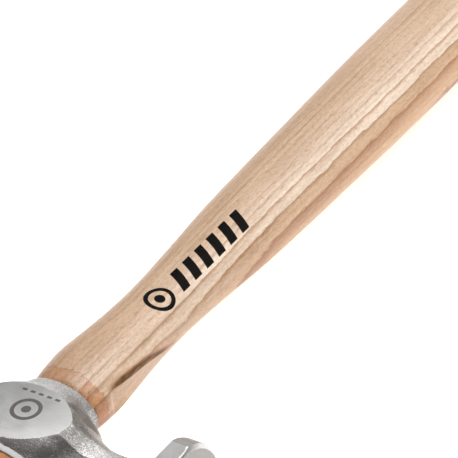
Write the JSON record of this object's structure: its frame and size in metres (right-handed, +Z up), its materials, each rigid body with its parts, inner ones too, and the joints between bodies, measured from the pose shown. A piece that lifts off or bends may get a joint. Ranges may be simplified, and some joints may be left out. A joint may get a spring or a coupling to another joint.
{
  "type": "cross peen hammer",
  "caption": "Cross peen hammer with a forged steel head, octagonal necks, a round poll and a wedged wooden handle.",
  "frame": {"origin": "under the middle of the hammer's outline, on the surface it lies on with one cheek up", "axes": "+X along the head towards the round striking face, +Y along the handle away from the head, +Z up out of the upper cheek"},
  "size_m": [0.1132, 0.3217, 0.0294],
  "materials": {
    "forged_steel": "shot blasted, with ground cheeks, poll and face",
    "ash_wood": "sanded and clear lacquered",
    "wedge_wood": "sawn and planed flush",
    "wedge_steel": "stamped, ground off flush"
  },
  "bodies": {
    "root": {"head": "forged_steel", "handle": "ash_wood", "wood_wedge": "wedge_wood", "steel_wedge_front": "wedge_steel", "steel_wedge_rear": "wedge_steel"}
  },
  "joints": []
}
